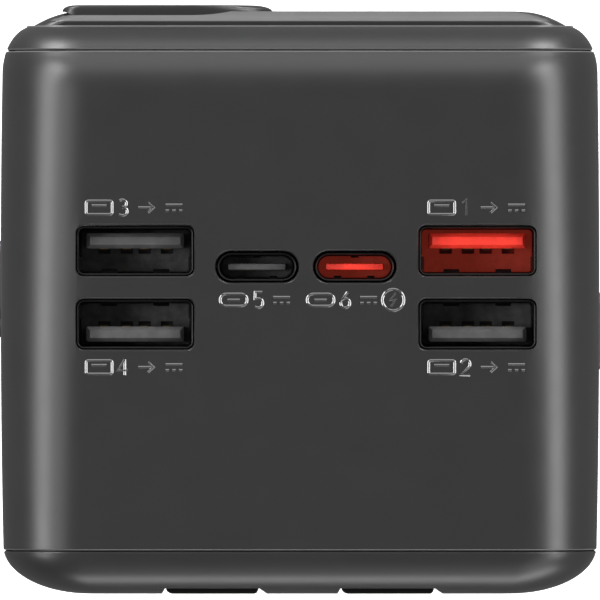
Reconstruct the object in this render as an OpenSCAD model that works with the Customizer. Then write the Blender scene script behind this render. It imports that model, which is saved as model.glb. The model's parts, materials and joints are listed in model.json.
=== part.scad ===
// Universal travel adapter with three slide-out plugs, a universal socket and six USB ports.
// Frame: +Z is the port end, +Y the plug face, -Y the socket face. The origin is the centre of the plain end.

/* [Body] */
// Width across the two slider sides, along X
body_w = 67; // [67:0.5:70]
// Length from the plain end to the port end, along Z
body_l = 75; // [75:0.5:78]
// Thickness from the socket face to the top of the fuse cap, along Y
body_t = 65.8; // [65.8:0.1:68]
// Wall thickness of the casing
wall = 2.4; // [2:0.1:2.6]
// Radius of the long edges between the end faces and the slider sides
edge_r = 10; // [8:0.5:11]

/* [Plug face] */
// Height of the raised platform above the plug-side cover
platform_h = 1.6; // [1.4:0.1:2]
// Size of the platform along X
platform_w = 59.5; // [58:0.5:60]
// Height of the fuse cap above the platform
cap_h = 0.7; // [0.5:0.1:1]
// Length of the fuse cap along X
cap_w = 23.5; // [22:0.5:25]

/* [Plugs] */
// Exposed length of the British earth pin
uk_earth_len = 22.7; // [20:0.1:23]
// Exposed length of the British line and neutral pins
uk_pin_len = 17.7; // [17:0.1:18.2]
// Distance of the line and neutral pins from the middle plane
uk_pin_x = 11.1; // [11:0.05:11.2]
// Exposed length of the European pins
eu_pin_len = 19; // [18:0.1:19]
// Diameter of the European pins
eu_pin_d = 4; // [4:0.1:4.8]
// Exposed length of the American and Australian blades
us_blade_len = 17; // [15.9:0.1:17.5]
// Angle that each blade turns from the American to the Australian position
blade_turn = 30; // [25:1:30]

/* [Ports] */
// Opening of a USB-A port in the casing, along X
usb_a_w = 13.2; // [13.1:0.05:13.4]
// Opening of a USB-A port in the casing, along Y
usb_a_h = 5.65; // [5.6:0.05:5.9]
// Opening of a USB-C port in the casing, along X
usb_c_w = 9.35; // [9.2:0.05:9.5]
// Opening of a USB-C port in the casing, along Y
usb_c_h = 3.55; // [3.5:0.05:3.7]

/* [Sliders] */
// Length of a thumb knob along its travel
knob_l = 9; // [8:0.5:9]
// How far a knob can be pressed in to unlock its plug
knob_press = 0.6; // [0.4:0.1:0.7]
// How far a knob stands proud of the casing
knob_proud = 0.8; // [0.6:0.1:0.9]

/* [Hidden] */
$fn = 64;
eps = 0.02;
sink = 1;                                   // how far a cutter runs past a face
// casing heights along Y
y_socket = -body_t / 2;
y_cap = body_t / 2;
y_platform = y_cap - cap_h;
y_cover = y_platform - platform_h;
y_split_plug = y_cover - 2.8;               // parting plane of the plug-side cover
y_split_socket = y_socket + 4.8;            // parting plane of the socket-side cover
plug_corner = [3.5, 5.2];                   // elliptical plan corners on the plug side
socket_corner = [9.4, 5.2];                 // elliptical plan corners on the socket side
end_r_plug = 7.4;                           // port end to plug face
end_r_socket = 5;                           // port end to socket face
corner_steps = 8;
roof = 1.6;                                 // wall of the platform
y_roof = y_platform - roof;                 // inside of the platform, where the carriages stop
cover_plate = 2;
// platform
platform_z = [end_r_plug + 0.1, body_l - end_r_plug];
platform_l = platform_z[1] - platform_z[0];
platform_zc = (platform_z[0] + platform_z[1]) / 2;
platform_r = 3;
platform_edge = [4.4, 1.15];                // slope of the platform at its sides: across, up
platform_end = 1.15;                        // bevel of the platform at its ends
pocket_wall = 1.4;                          // rim left around the pocket under the platform
// plug positions
uk_earth_offset = 22.23;                    // British earth to the row of line and neutral
earth_z = platform_z[0] + 6.3;
uk_z = earth_z + uk_earth_offset;
eu_z = uk_z + 7.67;
us_z = eu_z + 9.1;
eu_pin_x = 9.5;
us_pin_x = 6.6;
uk_half = 3.8;
eu_half = 3.4;
us_half = 5.3;
rotor_r = 4.5;
flange_t = 0.8;                             // rear flange of a rotor
flange_out = 0.5;
running = 0.05;                             // radial clearance of a running fit
blade = [1.5, 6.3];
uk_pin = [6.35, 4];
uk_earth = [4, 8];
pin_seat = 2.5;                             // depth of a pin in its carriage
slot_gap = 0.3;                             // around a part that slides through an opening
carrier_x = 16;
carrier_t = 4;
arm_t = 2;
arm_half = 2.7;
plate_x = [25, 27.4];                       // side plate of a carriage, from the middle outwards
tip_y = y_platform - 0.4;                   // retracted pin tips
uk_y = tip_y - uk_earth_len - roof;         // front face of each carrier at rest
eu_y = tip_y - eu_pin_len - roof;
us_y = tip_y - us_blade_len - roof;
uk_travel = y_roof - uk_y;
eu_travel = y_roof - eu_y;
us_travel = y_roof - us_y;
knob_end = 24;                              // front end of a knob when its plug is out
knob_h = 7;
knob_gap = 0.4;
stem_h = 2.6;
stem_inset = 2;
track_depth = 1.3;
knob_gap_in = 0.1;
rib_pitch = 1.4;
rib_w = 0.7;
rib_h = 0.3;
rib_inset = 1.2;                            // from the ends of a rib to the edge of the knob
cap_t = track_depth + knob_proud - knob_press - knob_gap_in;
// guide frame and bars
rail_x = [16.3, 17.8];
base_y = [2.3, 3.1];
bar_x = [16.3, 19.3];
bar_y = [y_roof - 1.1, y_roof - 0.3];
bar_t = 0.8;
// fuse
fuse_x = -14.85;
fuse_z = us_z + 9.7;
fuse_y = 26.4;
fuse_l = 20;
fuse_r = 2.6;
fuse_cap_l = 5;
cradle = [5.6, 3];                          // half size of the fuse cradle: X, Z
clip_x = fuse_l / 2 - 1.9;                  // distance of a clip from the middle of the fuse
clip_y = fuse_y - 4.5;
clip_t = 0.6;
cap_z = [platform_z[1] - 9.2, platform_z[1] - 0.6];
cap_r = 1.6;                                // corners of the fuse cap at its blunt end
cap_taper = 9;                              // length of its rounded end
// screws
screw_xz = [[25, 10], [-25, 10], [25, 58], [-25, 31]];
screw_r = 1.2;
boss_r = 3.2;
boss_y = 9.5;
screw_seat_y = 29.4;
screw_l = 12;
// ports: [x, y, side of the tongue]
usb_a = [[-18.4, 5.4, 1], [-18.4, -2.8, -1], [19.8, 5.4, 1], [19.8, -2.8, -1]];
usb_c = [[-4.8, 3.6], [6.1, 3.6]];
usb_recess = 0.8;
usb_a_depth = 14;
shell_t = 0.4;                              // back wall of a port shell
port_r = 0.85;                              // corners of a USB-A opening
tongue_a = [10.9, 1.68];
tongue_offset = 1.1;                        // from the middle of the port
tongue_c = [6.7, 0.7];
usb_c_depth = 9;
board_y = [0.7, 1.9];
board_z = [16, 71.5];
board_step_z = 59;                          // above this the board widens
// socket
socket_z = 47.5;
socket_earth_z = socket_z - uk_earth_offset;
socket_ground_z = socket_z - 11.9;          // American earth hole
ground_r = 2.6;
insert_y = [-28.2, -9.8];
insert_x = 20;
insert_z = [18, 57];
shutter_y = [-30.5, -28.5];
shutter_half = 4;
spring_x = 11;
spring_l = 12;
spring_y = -29.35;
spring_r = 0.85;
spring_wire = 0.16;
spring_turns = 7;
pad_x = 9.8;
pad_w = 10.3;
pad_gap = 0.12;                             // between a pad and the foot of its channel
channel_slope = [0.35, 0.85];
pad_depth = 0.6;
pad_l = 9;
pipe_xz = [23, 52];
pipe_r = 1.25;
shell_col = [0.2, 0.2, 0.21];
dark_col = [0.07, 0.07, 0.075];
frame_col = [0.75, 0.75, 0.72];
brass_col = [0.85, 0.68, 0.35];
steel_col = [0.75, 0.76, 0.78];
red_col = [0.75, 0.06, 0.05];

// ---------- helpers ----------
// an X-Z outline extruded from y0 to y1
module slab_y(y0, y1) {
    translate([0, y1, 0]) rotate([90, 0, 0]) linear_extrude(height = y1 - y0) children();
}
// a Y-Z outline extruded from x0 to x1
module slab_x(x0, x1) {
    translate([x0, 0, 0]) rotate([90, 0, 90]) linear_extrude(height = x1 - x0) children();
}
// a block given by its lowest and highest corners
module block(lo, hi) {
    translate(lo) cube(hi - lo);
}
// a block whose X range is mirrored when side is -1
module side_block(side, x, y, z) {
    lo = side > 0 ? x[0] : -x[1];
    block([lo, y[0], z[0]], [lo + x[1] - x[0], y[1], z[1]]);
}
module rod_y(x, z, r, y0, y1) {
    translate([x, y1, z]) rotate([90, 0, 0]) cylinder(r = r, h = y1 - y0);
}
module rounded_rect(w, h, r) {
    square([w - 2 * r, h], center = true);
    square([w, h - 2 * r], center = true);
    for (x = [-1, 1], y = [-1, 1]) translate([x * (w / 2 - r), y * (h / 2 - r)]) circle(r);
}
module stadium(w, h) {
    square([w - h, h], center = true);
    for (x = [-1, 1]) translate([x * (w - h) / 2, 0]) circle(h / 2);
}
// corner of an outline: centre, radii and start angle
function corner(c, r, a) = [for (i = [0:corner_steps]) let (t = a + 90 * i / corner_steps)
    [c[0] + r[0] * cos(t), c[1] + r[1] * sin(t)]];
// a straight bar along Y with bevelled tip edges, centred on x and z
module bevel_bar(x, z, w, h, y0, y1, bevel) {
    intersection() {
        slab_y(y0, y1) translate([x, z]) square([w, h], center = true);
        slab_x(x - w, x + w) polygon([[y0, z - h / 2], [y1 - bevel, z - h / 2], [y1, z - h / 2 + bevel],
            [y1, z + h / 2 - bevel], [y1 - bevel, z + h / 2], [y0, z + h / 2]]);
        translate([0, 0, z - h]) linear_extrude(height = 2 * h) polygon([[x - w / 2, y0],
            [x + w / 2, y0], [x + w / 2, y1 - bevel], [x + w / 2 - bevel, y1],
            [x - w / 2 + bevel, y1], [x - w / 2, y1 - bevel]]);
    }
}

// ---------- casing ----------
// plan outline in X-Y, drawn inset from the outside
module plan_outline(inset) {
    hx = body_w / 2 - inset;
    yp = y_cover - inset;
    ys = y_socket + inset;
    rp = [plug_corner[0] - inset, plug_corner[1] - inset];
    rs = [socket_corner[0] - inset, socket_corner[1] - inset];
    polygon(concat(
        corner([hx - rp[0], yp - rp[1]], rp, 0),
        corner([-hx + rp[0], yp - rp[1]], rp, 90),
        corner([-hx + rs[0], ys + rs[1]], rs, 180),
        corner([hx - rs[0], ys + rs[1]], rs, 270)));
}
// side outline in Y-Z
module side_outline(inset) {
    yp = y_cover - inset;
    ys = y_socket + inset;
    zt = body_l - inset;
    rp = end_r_plug - inset;
    rs = end_r_socket - inset;
    polygon(concat(
        corner([yp - rp, zt - rp], [rp, rp], 0),
        corner([ys + rs, zt - rs], [rs, rs], 90),
        corner([ys + rs, inset + rs], [rs, rs], 180),
        corner([yp - rp, inset + rp], [rp, rp], 270)));
}
module casing_block(inset) {
    intersection() {
        slab_y(-body_t, body_t) translate([0, body_l / 2])
            rounded_rect(body_w - 2 * inset, body_l - 2 * inset, edge_r - inset);
        translate([0, 0, -sink]) linear_extrude(height = body_l + 2 * sink) plan_outline(inset);
        slab_x(-body_w, body_w) side_outline(inset);
    }
}
// the part of a casing block between two heights
module casing_slice(inset, y0, y1) {
    intersection() {
        casing_block(inset);
        block([-body_w, y0, -body_l], [body_w, y1, 2 * body_l]);
    }
}
// track of a knob: side is 1 or -1
module slider_cut(side, z, travel) {
    rear = knob_end - knob_l - travel;
    x0 = body_w / 2 - track_depth;
    slab_x(side > 0 ? x0 : -body_w, side > 0 ? body_w : -x0)
        translate([(rear + knob_end) / 2, z])
        rounded_rect(knob_end - rear + 2 * knob_gap, knob_h + 2 * knob_gap, 2);
    side_block(side, [plate_x[1] + 0.5, body_w / 2 + sink],
        [rear + stem_inset - slot_gap, knob_end - stem_inset + slot_gap],
        [z - stem_h / 2 - slot_gap, z + stem_h / 2 + slot_gap]);
}
module port_openings() {
    for (p = usb_a) translate([p[0], p[1], body_l - 2 * wall])
        linear_extrude(height = 3 * wall) rounded_rect(usb_a_w, usb_a_h, port_r);
    for (p = usb_c) translate([p[0], p[1], body_l - 2 * wall])
        linear_extrude(height = 3 * wall) stadium(usb_c_w, usb_c_h);
}
module main_shell() color(shell_col) {
    difference() {
        union() {
            difference() {
                casing_slice(0, y_split_socket, y_split_plug);
                casing_block(wall);
            }
            for (s = screw_xz) {
                rod_y(s[0], s[1], boss_r, boss_y, y_split_plug);
                side_block(sign(s[0]), [abs(s[0]), body_w / 2 - wall / 2], [boss_y, y_split_plug],
                    [s[1] - 0.8, s[1] + 0.8]);
            }
        }
        port_openings();
        slider_cut(1, uk_z, uk_travel);
        slider_cut(-1, eu_z, eu_travel);
        slider_cut(-1, us_z, us_travel);
        for (s = screw_xz) rod_y(s[0], s[1], screw_r + running, boss_y + 1, y_split_plug + sink);
    }
}
// opening that lets a blade through in both positions and while it turns
module blade_opening(side) {
    for (i = [0:5]) rotate(-side * blade_turn * i / 5)
        square([blade[0] + 2 * slot_gap, blade[1] + 2 * slot_gap], center = true);
}
module platform_block() {
    w = platform_w / 2;
    l = platform_l / 2;
    c = platform_end;
    intersection() {
        slab_y(y_split_plug, y_platform) translate([0, platform_zc])
            rounded_rect(2 * w, 2 * l, platform_r);
        translate([0, 0, -sink]) linear_extrude(height = 2 * body_l) polygon([[-w, 0], [w, 0],
            [w, y_platform - platform_edge[1]], [w - platform_edge[0], y_platform],
            [platform_edge[0] - w, y_platform], [-w, y_platform - platform_edge[1]]]);
        slab_x(-body_w, body_w) translate([0, platform_zc]) polygon([[0, -l], [0, l],
            [y_platform - c, l], [y_platform, l - c], [y_platform, c - l], [y_platform - c, -l]]);
    }
}
module plug_cover() color(shell_col) difference() {
    union() {
        difference() {
            union() {
                casing_slice(0, y_split_plug, y_cover);
                intersection() {
                    platform_block();
                    block([-body_w, y_cover - 1, 0], [body_w, y_cap, body_l]);
                }
            }
            casing_slice(wall, 0, y_cover);
            slab_y(0, y_roof) translate([0, platform_zc])
                rounded_rect(platform_w - 2 * pocket_wall, platform_l - 2 * pocket_wall, platform_r - pocket_wall);
        }
        for (s = screw_xz) rod_y(s[0], s[1], boss_r, y_split_plug, y_roof + 0.5);
    }
    for (s = screw_xz) {
        rod_y(s[0], s[1], screw_r + 0.2, 0, y_cap);
        rod_y(s[0], s[1], 2.4, screw_seat_y, y_cap + sink);
    }
    for (x = [-1, 1]) {
        slab_y(y_split_plug, y_cap) translate([x * uk_pin_x, uk_z])
            square([uk_pin[0] + 2 * slot_gap, uk_pin[1] + 2 * slot_gap], center = true);
        rod_y(x * eu_pin_x, eu_z, eu_pin_d / 2 + slot_gap, y_split_plug, y_cap);
        slab_y(y_split_plug, y_cap) translate([x * us_pin_x, us_z]) blade_opening(x);
    }
    slab_y(y_split_plug, y_cap) translate([0, earth_z])
        square([uk_earth[0] + 2 * slot_gap, uk_earth[1] + 2 * slot_gap], center = true);
    block([fuse_x - cap_w / 2 + 1, 0, fuse_z - cradle[1] - slot_gap],
        [fuse_x + cap_w / 2 - 1, y_cap, fuse_z + cradle[1] + slot_gap]);
}
// one side of the universal socket: round, flat, slanted and rectangular pins share one opening
module socket_opening(side, grow) {
    translate([side * 11.1, 0]) square([7 + grow, 4.6 + grow], center = true);
    translate([side * 9.5, 0]) circle(2.6 + grow / 2);
    translate([side * 6.35, 0]) square([2.1 + grow, 7 + grow], center = true);
    translate([side * 6.9, 0]) rotate(side * 30) square([2.2 + grow, 6.9 + grow], center = true);
}
// a shallow channel along the whole socket face, with one steep and one slanted wall
module pad_channel(side) {
    half = pad_w / 2 + pad_gap;
    translate([side * pad_x, 0, -sink]) linear_extrude(height = body_l + 2 * sink) polygon([
        [-half - channel_slope[0], y_socket - sink], [half + channel_slope[1], y_socket - sink],
        [half + channel_slope[1], y_socket], [half, y_socket + pad_depth],
        [-half, y_socket + pad_depth], [-half - channel_slope[0], y_socket]]);
}
module socket_cover() color(shell_col) difference() {
    union() {
        difference() {
            casing_slice(0, y_socket, y_split_socket);
            casing_slice(wall, y_socket + cover_plate, 0);
        }
        for (x = [-1, 1]) block([x * spring_x - 2, y_socket + 1, socket_z + shutter_half + spring_l],
            [x * spring_x + 2, spring_y + 1.3, socket_z + shutter_half + spring_l + 1.5]);
    }
    slab_y(y_socket - sink, 0) {
        for (x = [-1, 1]) translate([0, socket_z]) socket_opening(x, 0);
        translate([0, socket_earth_z]) square([4.8, 8.8], center = true);
        translate([0, socket_ground_z]) circle(ground_r);
    }
    rod_y(pipe_xz[0], pipe_xz[1], pipe_r + running, y_socket - sink, 0);
    for (s = [-1, 1]) pad_channel(s);
}
module face_pads() color(dark_col) for (s = [-1, 1], e = [0, 1])
    mirror([0, 0, e]) translate([0, 0, -e * body_l]) translate([s * pad_x, 0, body_l - pad_l - 3.5])
        linear_extrude(height = pad_l) polygon([[-pad_w / 2, y_socket + pad_depth],
            [-pad_w / 2 + 0.35, y_socket + 0.15], [-pad_w / 2 + 0.8, y_socket],
            [pad_w / 2 - 0.5, y_socket], [pad_w / 2, y_socket + pad_depth]]);
module case_screws() color(steel_col) for (s = screw_xz) difference() {
    union() {
        rod_y(s[0], s[1], screw_r, screw_seat_y - screw_l, screw_seat_y + 0.1);
        rod_y(s[0], s[1], 2.1, screw_seat_y, screw_seat_y + 1.5);
    }
    for (a = [0, 90]) translate([s[0], 0, s[1]]) rotate([0, a, 0])
        block([-1.3, screw_seat_y + 0.6, -0.3], [1.3, y_cap, 0.3]);
}

// ---------- inside of the plug side ----------
module guide_frame() color(frame_col) {
    block([-rail_x[1], base_y[0], wall], [rail_x[1], base_y[1], us_z + us_half]);
    top = [base_y[0], bar_y[0] - 0.3];
    foot_z = platform_z[0] + pocket_wall + 0.6;
    side_block(-1, rail_x, top, [foot_z, eu_z - arm_half - 0.5]);
    side_block(-1, rail_x, top, [us_z + arm_half + 0.5, us_z + us_half]);
    side_block(1, rail_x, top, [foot_z, uk_z - arm_half - 0.5]);
    side_block(1, rail_x, top, [uk_z + arm_half + 0.5, us_z + us_half]);
}
// body of a carriage: cross bar, arm to the side and side plate with the pocket of the knob's stem
module carriage(side, z, half, front, rear) {
    back = front - carrier_t;
    difference() {
        union() {
            block([-carrier_x, back, z - half], [carrier_x, front, z + half]);
            side_block(side, [carrier_x - 1, plate_x[1]], [back, back + arm_t], [z - arm_half, z + arm_half]);
            side_block(side, plate_x, [rear + 0.5, back + arm_t], [z - arm_half, z + arm_half]);
        }
        side_block(side, [plate_x[0] - sink, plate_x[1] + sink],
            [rear + stem_inset - slot_gap, rear + knob_l - stem_inset + slot_gap],
            [z - stem_h / 2 - slot_gap, z + stem_h / 2 + slot_gap]);
        children();
    }
}
module knob(side, z, rear) {
    x1 = body_w / 2 + knob_proud;
    cap_x = side > 0 ? [x1 - cap_t, x1 - rib_h] : [rib_h - x1, cap_t - x1];
    slab_x(cap_x[0], cap_x[1]) translate([rear + knob_l / 2, z]) rounded_rect(knob_l, knob_h, 1.6);
    side_block(side, [plate_x[0] + 0.6, x1 - cap_t + eps], [rear + stem_inset, rear + knob_l - stem_inset],
        [z - stem_h / 2, z + stem_h / 2]);
    for (i = [-2:2]) side_block(side, [x1 - rib_h - 0.1, x1],
        [rear + knob_l / 2 + i * rib_pitch - rib_w / 2, rear + knob_l / 2 + i * rib_pitch + rib_w / 2],
        [z - knob_h / 2 + rib_inset, z + knob_h / 2 - rib_inset]);
}
module uk_carrier() color(frame_col) difference() {
    union() {
        carriage(1, uk_z, uk_half, uk_y, knob_end - knob_l - uk_travel);
        block([-5, uk_y - carrier_t, earth_z - uk_earth[1] / 2 - 0.6], [5, uk_y, uk_z - uk_half + eps]);
    }
    for (x = [-1, 1]) slab_y(uk_y - pin_seat, uk_y + sink) translate([x * uk_pin_x, uk_z])
        square(uk_pin, center = true);
    slab_y(uk_y - pin_seat, uk_y + sink) translate([0, earth_z]) square(uk_earth, center = true);
}
module uk_power_pin(side) color(brass_col)
    bevel_bar(side * uk_pin_x, uk_z, uk_pin[0], uk_pin[1], uk_y - pin_seat, uk_y + roof + uk_pin_len, 0.8);
module uk_line_pin() uk_power_pin(1);
module uk_neutral_pin() uk_power_pin(-1);
module uk_earth_pin() color(dark_col)
    bevel_bar(0, earth_z, uk_earth[0], uk_earth[1], uk_y - pin_seat, tip_y, 0.9);
module uk_knob() color(dark_col) knob(1, uk_z, knob_end - knob_l - uk_travel);
module eu_carrier() color(frame_col) carriage(-1, eu_z, eu_half, eu_y, knob_end - knob_l - eu_travel)
    for (x = [-1, 1]) rod_y(x * eu_pin_x, eu_z, eu_pin_d / 2, eu_y - pin_seat, eu_y + sink);
module eu_pin(side) color(steel_col) {
    rod_y(side * eu_pin_x, eu_z, eu_pin_d / 2, eu_y - pin_seat, tip_y - eu_pin_d / 2);
    intersection() {
        translate([side * eu_pin_x, tip_y - eu_pin_d / 2, eu_z]) sphere(eu_pin_d / 2);
        block([-carrier_x, tip_y - eu_pin_d / 2, 0], [carrier_x, y_cap, body_l]);
    }
}
module eu_pin_left() eu_pin(-1);
module eu_pin_right() eu_pin(1);
module eu_knob() color(dark_col) knob(-1, eu_z, knob_end - knob_l - eu_travel);
module us_au_carrier() color(frame_col) carriage(-1, us_z, us_half, us_y, knob_end - knob_l - us_travel)
    for (x = [-1, 1]) rod_y(x * us_pin_x, us_z, rotor_r + running, 0, y_cap);
module us_au_knob() color(dark_col) knob(-1, us_z, knob_end - knob_l - us_travel);
// rotor with a rear flange, slotted for its blade
module rotor(side) color(dark_col) difference() {
    back = us_y - carrier_t - 0.1;
    union() {
        rod_y(side * us_pin_x, us_z, rotor_r, back - flange_t, us_y);
        rod_y(side * us_pin_x, us_z, rotor_r + flange_out, back - flange_t, back);
    }
    slab_y(us_y - carrier_t, us_y + 1) translate([side * us_pin_x, us_z]) square(blade, center = true);
}
module rotor_left() rotor(-1);
module rotor_right() rotor(1);
module us_blade(side) color(steel_col)
    bevel_bar(side * us_pin_x, us_z, blade[0], blade[1], us_y - carrier_t, tip_y, 0.5);
module blade_left() us_blade(-1);
module blade_right() us_blade(1);

// ---------- power path ----------
module line_bus_bar() color(brass_col)
    side_block(-1, bar_x, bar_y, [earth_z + 14, us_z + us_half + 0.3]);
module neutral_bus_bar() color(brass_col) {
    side_block(1, bar_x, bar_y, [earth_z + 10, us_z + us_half]);
    side_block(1, [bar_x[1] - bar_t, bar_x[1]], [board_y[1], bar_y[1]], [earth_z + 10, earth_z + 14]);
}
// the two spring clips of the fuse, with the tails that join them to the bus bar and to the board
module fuse_clips() color(brass_col) {
    for (x = [-1, 1]) {
        cx = fuse_x + x * clip_x;
        block([cx - 1, clip_y, fuse_z - 3.15], [cx + 1, clip_y + clip_t, fuse_z + 3.15]);
        for (s = [-1, 1]) block([cx - 1, clip_y, fuse_z + s * 2.9 - 0.25],
            [cx + 1, fuse_y + 1.5, fuse_z + s * 2.9 + 0.25]);
    }
    outer = fuse_x - fuse_l / 2 + 0.9;
    foot = us_z + us_half + 0.3;
    block([outer, clip_y, foot], [-bar_x[0], clip_y + clip_t, foot + clip_t]);
    block([outer, clip_y, foot], [outer + 2, clip_y + clip_t, fuse_z - 3]);
    block([-bar_x[1], clip_y, foot], [-bar_x[0], bar_y[1], foot + clip_t]);
    inner = fuse_x + fuse_l / 2 - 2.9;
    tail_x = -11;
    block([tail_x, clip_y, fuse_z - 1.8], [inner + eps, clip_y + clip_t, fuse_z + 1.5]);
    block([tail_x, board_y[1], fuse_z - 1.8], [tail_x + bar_t, clip_y + clip_t, fuse_z + 1.5]);
}
module fuse_carrier() color(dark_col) {
    half = (cap_z[1] - cap_z[0]) / 2;
    middle = cap_z[0] + half;
    left = fuse_x - cap_w / 2;
    tip = [fuse_x + cap_w / 2 - cap_taper, middle];
    slab_y(y_platform, y_cap) polygon(concat(corner(tip, [cap_taper, half], 0),
        corner([left + cap_r, cap_z[1] - cap_r], [cap_r, cap_r], 90),
        corner([left + cap_r, cap_z[0] + cap_r], [cap_r, cap_r], 180),
        corner(tip, [cap_taper, half], 270)));
    difference() {
        block([fuse_x - cradle[0], fuse_y - 0.4, fuse_z - cradle[1]],
            [fuse_x + cradle[0], y_platform + eps, fuse_z + cradle[1]]);
        slab_x(fuse_x - fuse_l / 2, fuse_x + fuse_l / 2) translate([fuse_y, fuse_z]) circle(fuse_r);
    }
}
module fuse_body() color([0.92, 0.9, 0.86])
    slab_x(fuse_x - fuse_l / 2 + fuse_cap_l, fuse_x + fuse_l / 2 - fuse_cap_l)
    translate([fuse_y, fuse_z]) circle(fuse_r - 0.1);
module fuse_end_caps() color(steel_col) for (s = [-1, 1]) {
    x0 = s > 0 ? fuse_x + fuse_l / 2 - fuse_cap_l : fuse_x - fuse_l / 2;
    slab_x(x0, x0 + fuse_cap_l) translate([fuse_y, fuse_z]) circle(fuse_r);
}

// ---------- universal socket ----------
module socket_insert() color(dark_col) {
    difference() {
        union() {
            block([-insert_x, insert_y[0], insert_z[0]], [insert_x, insert_y[1], insert_z[1]]);
            block([-body_w / 2 + wall + 0.2, insert_y[0] + 0.2, 22],
                [body_w / 2 - wall - 0.2, insert_y[0] + 1.7, 50]);
        }
        for (s = [-1, 1]) side_block(s, [4.4, 15], [insert_y[0] - sink, insert_y[1] + sink],
            [socket_z - 5, socket_z + 5]);
        slab_y(insert_y[0] - sink, insert_y[1] - 0.8) {
            translate([0, socket_earth_z]) square([5.2, 9.2], center = true);
            translate([0, socket_ground_z]) circle(ground_r + 0.2);
        }
    }
}
// a pair of leaves for thick pins, a pair for flat blades, a base and a tail to the board
module socket_contact(side) color(brass_col) {
    y = [-26, -10.8];
    pin_gap = 2.4;
    blade_x = 6.35;
    blade_gap = 1.1;
    leaf = 0.3;
    side_block(side, [5, 14.6], [y[1] - 0.8, y[1]], [socket_z - 4.6, socket_z + 4.6]);
    for (s = [-1, 1]) {
        side_block(side, [8.2, 14.6], y, [socket_z + s * pin_gap - leaf, socket_z + s * pin_gap + leaf]);
        side_block(side, [blade_x + s * blade_gap - leaf, blade_x + s * blade_gap + leaf], y,
            [socket_z - 3, socket_z + 3]);
    }
    side_block(side, [12, 13], [y[1] - 0.4, board_y[0]], [socket_z - 1.5, socket_z + 1.5]);
}
module line_contact() socket_contact(-1);
module neutral_contact() socket_contact(1);
module shutter() color([0.85, 0.85, 0.83]) slab_x(-16, 16) polygon([
    [shutter_y[0] + 1.2, socket_z - shutter_half], [shutter_y[1], socket_z - shutter_half],
    [shutter_y[1], socket_z + shutter_half], [shutter_y[0], socket_z + shutter_half],
    [shutter_y[0], socket_z + shutter_half - 1.5]]);
// one coil spring: a wire swept along a helix
module coil(r, wire, length, turns) {
    ring = 8;
    steps = turns * 12;
    lead = length - 2 * wire;
    points = [for (i = [0:steps]) let (a = 360 * turns * i / steps) for (j = [0:ring - 1])
        let (b = 360 * j / ring) [(r + wire * cos(b)) * cos(a), (r + wire * cos(b)) * sin(a),
        wire + lead * i / steps + wire * sin(b)]];
    sides = [for (i = [0:steps - 1], j = [0:ring - 1]) let (k = (j + 1) % ring)
        [i * ring + j, (i + 1) * ring + j, (i + 1) * ring + k, i * ring + k]];
    ends = [[for (j = [0:ring - 1]) j], [for (j = [ring - 1:-1:0]) steps * ring + j]];
    polyhedron(points, concat(sides, ends), convexity = 4);
}
module shutter_springs() color(steel_col) for (x = [-1, 1])
    translate([x * spring_x, spring_y, socket_z + shutter_half]) coil(spring_r, spring_wire, spring_l, spring_turns);
module indicator_light_pipe() color([0.9, 0.9, 0.9])
    rod_y(pipe_xz[0], pipe_xz[1], pipe_r, y_socket + 0.1, board_y[0] - 1.7);
module indicator_led() color(red_col)
    rod_y(pipe_xz[0], pipe_xz[1], pipe_r, board_y[0] - 1.6, board_y[0]);

// ---------- USB charger ----------
module usb_board() color([0.05, 0.3, 0.12]) {
    block([-22.2, board_y[0], board_z[0]], [24.5, board_y[1], board_step_z]);
    block([-27.2, board_y[0], board_step_z - eps], [27.2, board_y[1], board_z[1]]);
}
module usb_transformer() color([0.9, 0.75, 0.2]) {
    block([-10, -7.2, 20], [6, -0.7, 38]);
    block([-8, -8.9, 22], [4, -7.2 + eps, 36]);
    block([-9, -0.7 - eps, 20], [5, board_y[0], 38]);
}
module usb_capacitors() color([0.1, 0.1, 0.3]) {
    translate([-16.5, -3.5, 18]) cylinder(r = 4, h = 14);
    translate([12, -3.5, 18]) cylinder(r = 3.8, h = 12);
    translate([19.5, -2.7, 34]) cylinder(r = 3.1, h = 9);
}
module usb_a_shell(p) color([0.12, 0.12, 0.13]) translate([p[0], p[1], body_l - usb_recess]) {
    difference() {
        translate([0, 0, -usb_a_depth]) linear_extrude(height = usb_a_depth)
            rounded_rect(usb_a_w - 0.1, usb_a_h - 0.1, 0.8);
        translate([0, 0, shell_t - usb_a_depth]) linear_extrude(height = usb_a_depth)
            rounded_rect(usb_a_w - 0.7, usb_a_h - 0.6, 0.5);
    }
}
module usb_a_tongue(p, col) color(col) translate([p[0], p[1], body_l]) {
    depth = usb_a_depth + usb_recess - shell_t;
    translate([0, 0, -depth]) linear_extrude(height = 2.4)
        rounded_rect(usb_a_w - 0.8, usb_a_h - 0.85, 0.5);
    translate([0, p[2] * tongue_offset, 0])
        block([-tongue_a[0] / 2, -tongue_a[1] / 2, 2 - depth], [tongue_a[0] / 2, tongue_a[1] / 2, -2]);
}
module usb_c_shell(p) color(steel_col) translate([p[0], p[1], body_l - usb_recess]) difference() {
    translate([0, 0, -usb_c_depth]) linear_extrude(height = usb_c_depth) stadium(usb_c_w - 0.4, usb_c_h - 0.3);
    translate([0, 0, shell_t - usb_c_depth]) linear_extrude(height = usb_c_depth)
        stadium(usb_c_w - 1, usb_c_h - 0.9);
}
module usb_c_tongue(p, col) color(col) translate([p[0], p[1], body_l]) {
    depth = usb_c_depth + usb_recess - shell_t;
    translate([0, 0, -depth]) linear_extrude(height = 2) stadium(usb_c_w - 1.2, usb_c_h - 1.1);
    block([-tongue_c[0] / 2, -tongue_c[1] / 2, 1 - depth], [tongue_c[0] / 2, tongue_c[1] / 2, -1.9]);
}
module usb_a_shell_1() usb_a_shell(usb_a[0]);
module usb_a_shell_2() usb_a_shell(usb_a[1]);
module usb_a_shell_3() usb_a_shell(usb_a[2]);
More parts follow.
